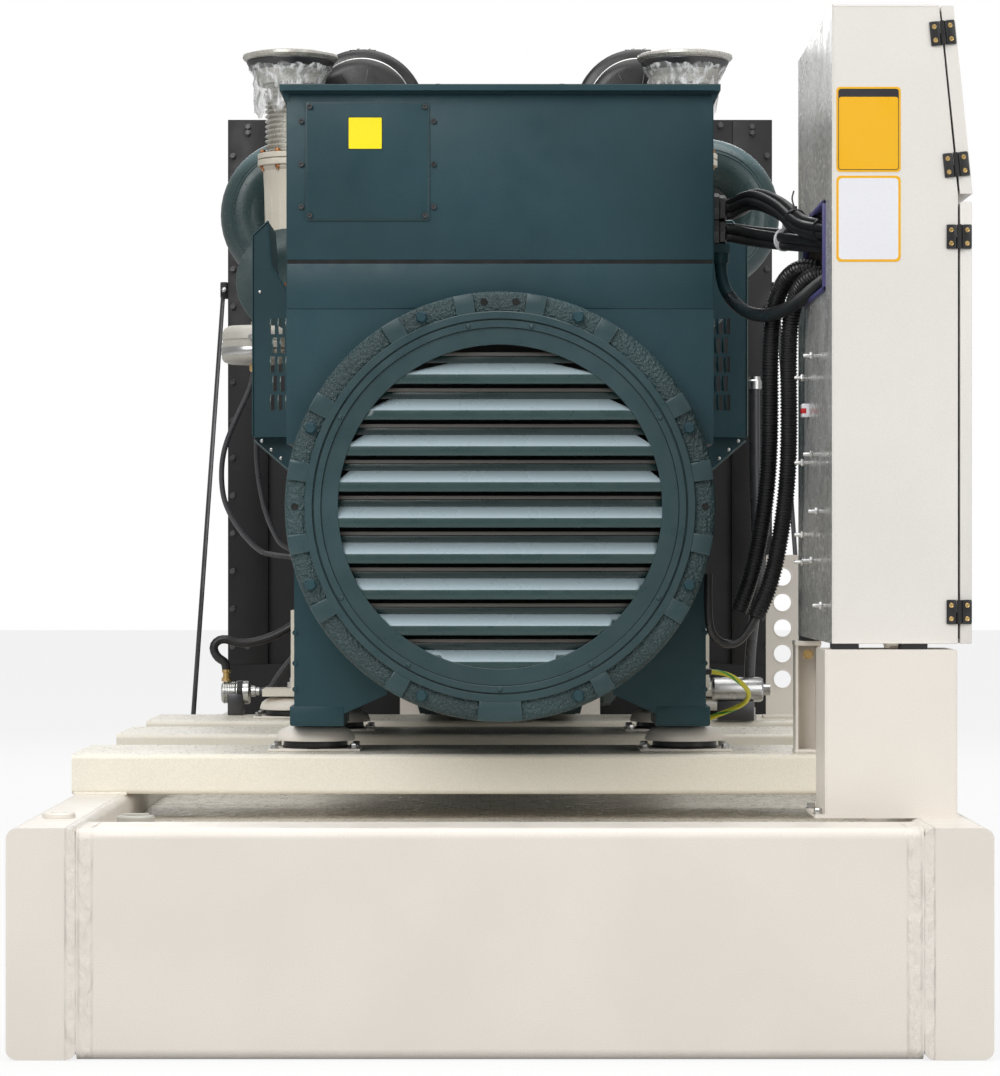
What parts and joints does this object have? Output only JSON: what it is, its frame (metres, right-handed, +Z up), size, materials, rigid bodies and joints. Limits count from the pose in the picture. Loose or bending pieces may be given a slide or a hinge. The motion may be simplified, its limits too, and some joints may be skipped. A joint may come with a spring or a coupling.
{
  "type": "diesel generator set",
  "caption": "Open diesel generating set: alternator with round louvred intake, engine, radiator and control cabinet on a steel skid.",
  "frame": {"origin": "middle of the underside of the skid, on the ground", "axes": "+Z up, +Y from the alternator end to the radiator end, +X to the control cabinet's side"},
  "size_m": [1.968, 5.6, 2.516],
  "materials": {
    "cream_paint": "satin",
    "cabinet_paint": "satin",
    "green_paint": "satin",
    "black_paint": "satin",
    "black_hinge": "matte",
    "bellows_steel": "satin",
    "black_rubber": "matte",
    "earth_sheath": "matte"
  },
  "bodies": {
    "set": {"access_plate": "green_paint", "air_cleaners": "black_paint", "alternator_feet_left": "green_paint", "alternator_feet_right": "green_paint", "alternator_fittings": "green_paint", "alternator_frame": "green_paint", "base_end_front": "cream_paint", "base_end_rear": "cream_paint", "base_rail_left": "cream_paint", "base_rail_right": "cream_paint", "breather_can": "cream_paint", "cabinet_back": "cabinet_paint", "cabinet_body": "cabinet_paint", "cabinet_hinges": "black_hinge", "cabinet_pads": "black_rubber", "cabinet_pedestal": "cream_paint", "cabinet_rear_support": "cream_paint", "charge_air_pipes": "green_paint", "cleaner_frame": "green_paint", "coolant_pipes": "green_paint", "crankcase": "green_paint", "crossbeam_front": "cream_paint", "crossbeam_middle": "cream_paint", "crossbeam_rear": "cream_paint", "cylinder_heads": "green_paint", "drain_pump": "bellows_steel", "earth_cable": "earth_sheath", "end_shield_ring": "green_paint", "engine_front_support": "cream_paint", "engine_mount_brackets": "cream_paint", "exhaust_bellows_left": "bellows_steel", "exhaust_bellows_right": "bellows_steel", "exhaust_manifolds": "cream_paint", "fan": "black_paint", "fan_shroud": "black_paint", "flywheel_housing": "green_paint", "fuel_tank": "cream_paint", "gear_cover": "green_paint", "hoses_left": "black_rubber", "hoses_right": "black_rubber", "intake_louvre": "green_paint", "intake_plenum": "green_paint", "oil_pan": "green_paint", "perforated_strap": "cream_paint", "power_cables": "black_rubber", "radiator_core": "black_paint", "radiator_posts": "black_paint", "radiator_stays": "black_paint", "radiator_tanks": "black_paint", "ribbed_conduits": "black_rubber", "sagging_conduit": "black_rubber", "side_hood_left": "green_paint", "side_hood_right": "green_paint", "terminal_box": "green_paint", "terminal_box_lid": "green_paint", "vibration_mounts": "cream_paint"},
    "upper_door": {"upper_door": "cabinet_paint", "upper_door_hinges": "black_hinge"},
    "lower_door": {"lower_door": "cabinet_paint", "lower_door_hinges": "black_hinge"}
  },
  "joints": [
    {"name": "upper_door_hinge", "type": "hinge", "parent": "set", "child": "upper_door", "pos_m": [0.9555, -2.496, 1.759], "axis": [0.1018, 0, -0.9948], "range_deg": [0, 120]},
    {"name": "lower_door_hinge", "type": "hinge", "parent": "set", "child": "lower_door", "pos_m": [0.9555, -2.496, 1.282], "axis": [0, 0, -1], "range_deg": [0, 120]}
  ]
}
